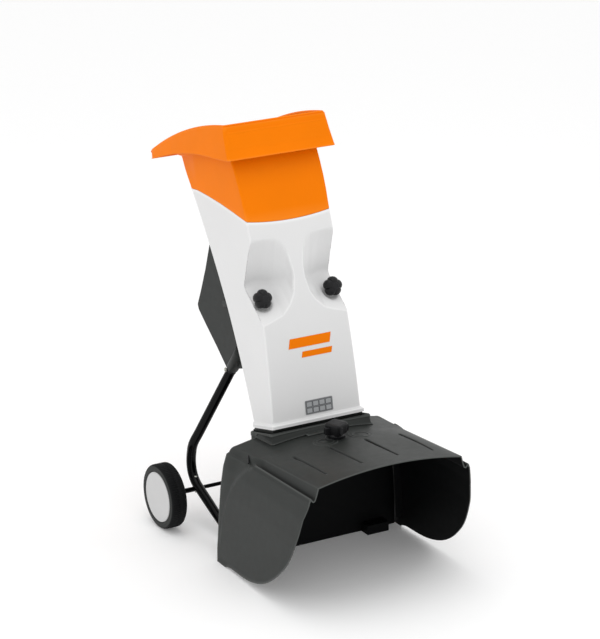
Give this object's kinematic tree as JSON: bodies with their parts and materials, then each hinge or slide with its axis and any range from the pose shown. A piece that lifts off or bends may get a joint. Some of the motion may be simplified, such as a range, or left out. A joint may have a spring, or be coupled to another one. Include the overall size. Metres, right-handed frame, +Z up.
{
  "type": "wood chipper",
  "caption": "Upright electric garden chipper with a tilted feed hopper, leaning chute column, disc cutter, tube frame on wheels and a wide discharge hood.",
  "frame": {"origin": "bottom centre of the bounding box, on the ground", "axes": "+Z up, +X to the machine's right seen from the discharge side's rear, the discharge hood faces -Y"},
  "size_m": [0.6882, 1.115, 1.2717],
  "materials": {
    "orange_plastic": "satin moulded",
    "white_plastic": "satin moulded",
    "grey_plastic": "fine grained moulded",
    "black_plastic": "moulded",
    "tube_paint": "gloss powder coat",
    "tyre": "matt ribbed",
    "cap_plastic": "satin moulded",
    "steel": "machined",
    "zinc": "zinc plated",
    "motor_iron": "laminated",
    "aluminium": "cast",
    "copper": "enamelled winding",
    "rubber": "matt",
    "label_foil": "satin foil",
    "green_plastic": "moulded",
    "red_plastic": "moulded"
  },
  "bodies": {
    "base": {"cutter_base": "grey_plastic", "threaded_insert_left": "zinc", "threaded_insert_right": "zinc", "motor_housing": "grey_plastic", "switch_box": "black_plastic", "power_inlet": "steel", "motor_front_shield": "aluminium", "front_bearing": "steel", "stator_core": "motor_iron", "front_winding": "copper", "rear_winding": "copper", "motor_rear_shield": "aluminium", "rear_bearing": "steel", "counter_blade": "zinc", "run_capacitor": "aluminium", "outlet_frame": "grey_plastic", "support_screw_left": "steel", "support_screw_right": "steel", "frame_tube_left": "tube_paint", "frame_tube_right": "tube_paint", "axle": "tube_paint", "axle_bolt_left": "zinc", "axle_bolt_right": "zinc", "tube_screw_left": "zinc", "tube_screw_right": "zinc", "axle_nut_left": "steel", "axle_nut_right": "steel"},
    "hopper": {"column_shell": "white_plastic", "feed_hopper": "orange_plastic", "splash_curtain": "rubber", "guide_ramp": "grey_plastic", "data_plate": "label_foil"},
    "knob_carrier_left": {"captive_washer_left": "steel"},
    "knob_left": {"clamp_knob_left": "black_plastic", "clamp_bolt_left": "steel"},
    "knob_carrier_right": {"captive_washer_right": "steel"},
    "knob_right": {"clamp_knob_right": "black_plastic", "clamp_bolt_right": "steel"},
    "rotor": {"rotor_shaft": "steel", "rotor_core": "motor_iron", "cooling_fan": "black_plastic", "cutting_disc": "steel", "reversible_blade_1": "zinc", "reversible_blade_2": "zinc", "blade_screw_1": "steel", "blade_screw_2": "steel", "blade_screw_3": "steel", "blade_screw_4": "steel", "disc_bolt": "zinc"},
    "start": {"start_button": "green_plastic"},
    "stop": {"stop_button": "red_plastic"},
    "hood": {"discharge_hood": "grey_plastic"},
    "latch": {"latch_knob": "black_plastic", "latch_cam": "steel"},
    "wheel_l": {"tyre_left": "tyre", "wheel_hub_left": "cap_plastic", "wheel_cap_left": "cap_plastic"},
    "wheel_r": {"tyre_right": "tyre", "wheel_hub_right": "cap_plastic", "wheel_cap_right": "cap_plastic"}
  },
  "joints": [
    {"name": "hopper_release", "type": "slide", "parent": "base", "child": "hopper", "axis": [0, -0.9426, 0.334], "range_m": [0, 0.12]},
    {"name": "knob_slide_left", "type": "slide", "parent": "hopper", "child": "knob_carrier_left", "axis": [0, -0.9426, 0.334], "range_m": [0, 0.009]},
    {"name": "knob_left_turn", "type": "hinge", "parent": "knob_carrier_left", "child": "knob_left", "pos_m": [-0.1188, -0.02501, 0.76997], "axis": [0, -0.9426, 0.334], "range_deg": [0, 1080]},
    {"name": "knob_slide_right", "type": "slide", "parent": "hopper", "child": "knob_carrier_right", "axis": [0, -0.9426, 0.334], "range_m": [0, 0.009]},
    {"name": "knob_right_turn", "type": "hinge", "parent": "knob_carrier_right", "child": "knob_right", "pos_m": [0.1188, -0.02501, 0.76997], "axis": [0, -0.9426, 0.334], "range_deg": [0, 1080]},
    {"name": "rotor_spin", "type": "hinge", "parent": "base", "child": "rotor", "pos_m": [0, 0.13406, 0.7099], "axis": [0, 0.9426, -0.334], "continuous": true},
    {"name": "start_press", "type": "slide", "parent": "base", "child": "start", "axis": [0, -0.942, -0.3356], "range_m": [0, 0.0025], "stiffness_N_per_m": 400},
    {"name": "stop_press", "type": "slide", "parent": "base", "child": "stop", "axis": [0, -0.942, -0.3356], "range_m": [0, 0.0035], "stiffness_N_per_m": 400},
    {"name": "hood_slide", "type": "slide", "parent": "base", "child": "hood", "axis": [0, -1, 0], "range_m": [0, 0.12]},
    {"name": "latch_turn", "type": "hinge", "parent": "hood", "child": "latch", "pos_m": [0, -0.2555, 0.4], "axis": [0, 0, 1], "range_deg": [0, 90]},
    {"name": "wheel_left_spin", "type": "hinge", "parent": "base", "child": "wheel_l", "pos_m": [-0.319, 0.2255, 0.1], "axis": [1, 0, 0], "continuous": true},
    {"name": "wheel_right_spin", "type": "hinge", "parent": "base", "child": "wheel_r", "pos_m": [0.319, 0.2255, 0.1], "axis": [1, 0, 0], "continuous": true}
  ],
  "couplings": [
    {"joint": "knob_left_turn", "follows": "knob_slide_left", "rad_per_m": 2094.4},
    {"joint": "knob_right_turn", "follows": "knob_slide_right", "rad_per_m": 2094.4}
  ]
}
